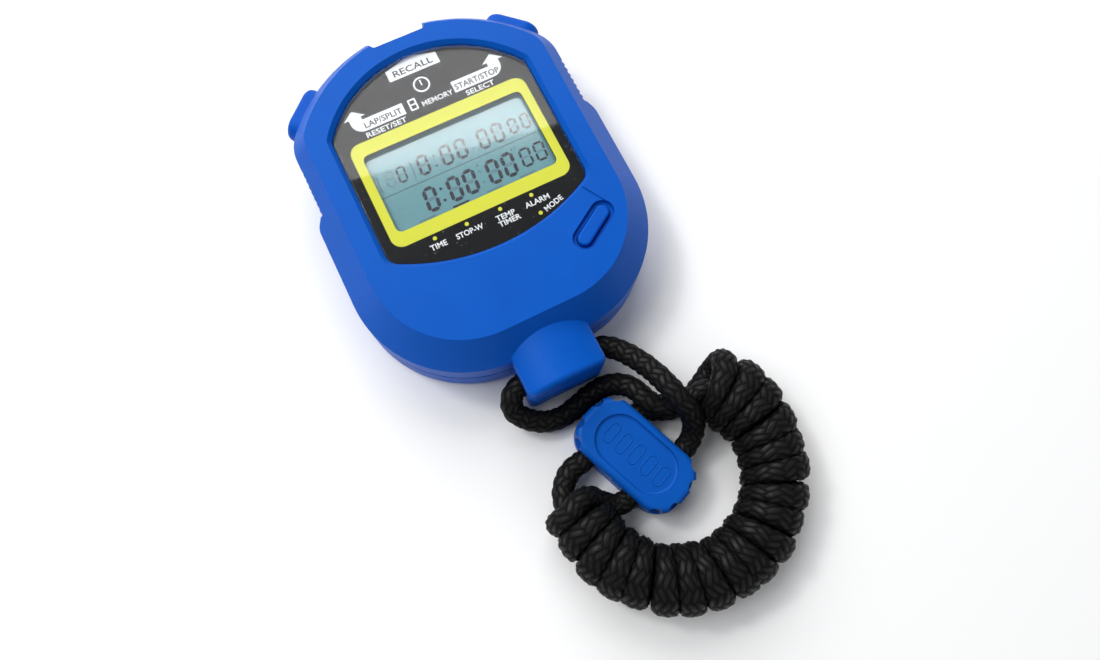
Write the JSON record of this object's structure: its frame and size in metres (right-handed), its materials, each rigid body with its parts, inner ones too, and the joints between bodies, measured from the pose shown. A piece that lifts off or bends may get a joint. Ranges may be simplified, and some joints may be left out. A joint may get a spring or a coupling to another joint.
{
  "type": "digital stopwatch",
  "caption": "Digital stopwatch in a rounded blue case with a two-row display, push buttons, a lanyard bail and a black braided neck cord wound into a C-shaped hank with a slider.",
  "frame": {"origin": "bottom centre of the watch case, bail included and cord left out", "axes": "+Z out of the display, +Y towards the recall button, +X to the right of the display"},
  "size_m": [0.0694, 0.1355, 0.02],
  "materials": {
    "case_blue": "satin moulded ABS, fine grain",
    "button_blue": "smooth, slightly glossy",
    "slider_blue": "satin",
    "clear_window": "polished clear acrylic",
    "print_black": "screen print behind the window",
    "lcd_glass": "grey-green display glass",
    "holder_plastic": "plain moulding",
    "black_rubber": "plain",
    "board_green": "green solder mask over fibreglass laminate",
    "black_resin": "glossy resin",
    "ceramic_parts": "chip components",
    "bright_metal": "nickel-plated steel",
    "brass_disc": "plain",
    "cord_black": "braided polyester cord"
  },
  "bodies": {
    "case": {"board_parts": "ceramic_parts", "board_screws": "bright_metal", "case_gasket": "black_rubber", "case_screws": "bright_metal", "cell_clip": "bright_metal", "cell_contact": "bright_metal", "chip_blob": "black_resin", "circuit_board": "board_green", "coin_cell": "bright_metal", "cord_coil": "cord_black", "cord_coil_feed": "cord_black", "cord_core_tail": "cord_black", "cord_in_bail": "cord_black", "cord_in_lower_channel": "cord_black", "cord_in_upper_channel": "cord_black", "cord_left_strand": "cord_black", "cord_right_strand": "cord_black", "cord_wrap_tail": "cord_black", "crystal": "bright_metal", "front_shell": "case_blue", "lap_contact": "bright_metal", "lcd_front_glass": "lcd_glass", "lcd_holder": "holder_plastic", "lcd_rear_glass": "lcd_glass", "lcd_reflector": "bright_metal", "mode_contact": "bright_metal", "piezo_contacts": "bright_metal", "piezo_disc": "brass_disc", "printed_mask": "print_black", "rear_shell": "case_blue", "recall_contact": "bright_metal", "slider_lower": "slider_blue", "slider_upper": "slider_blue", "start_contact": "bright_metal", "window_lens": "clear_window", "zebra_strip_lower": "black_rubber", "zebra_strip_upper": "black_rubber"},
    "start_button": {"start_button": "button_blue"},
    "lap_button": {"lap_button": "button_blue"},
    "recall_button": {"recall_button": "button_blue"},
    "mode_button": {"mode_button": "button_blue"}
  },
  "joints": [
    {"name": "start_press", "type": "slide", "parent": "case", "child": "start_button", "axis": [-0.6691, -0.7431, 0], "range_m": [0, 0.0015], "stiffness_N_per_m": 900},
    {"name": "lap_press", "type": "slide", "parent": "case", "child": "lap_button", "axis": [0.6691, -0.7431, 0], "range_m": [0, 0.0015], "stiffness_N_per_m": 900},
    {"name": "recall_press", "type": "slide", "parent": "case", "child": "recall_button", "axis": [0, -1, 0], "range_m": [0, 0.0012], "stiffness_N_per_m": 900},
    {"name": "mode_press", "type": "slide", "parent": "case", "child": "mode_button", "axis": [0, 0, -1], "range_m": [0, 0.0008], "stiffness_N_per_m": 900}
  ]
}
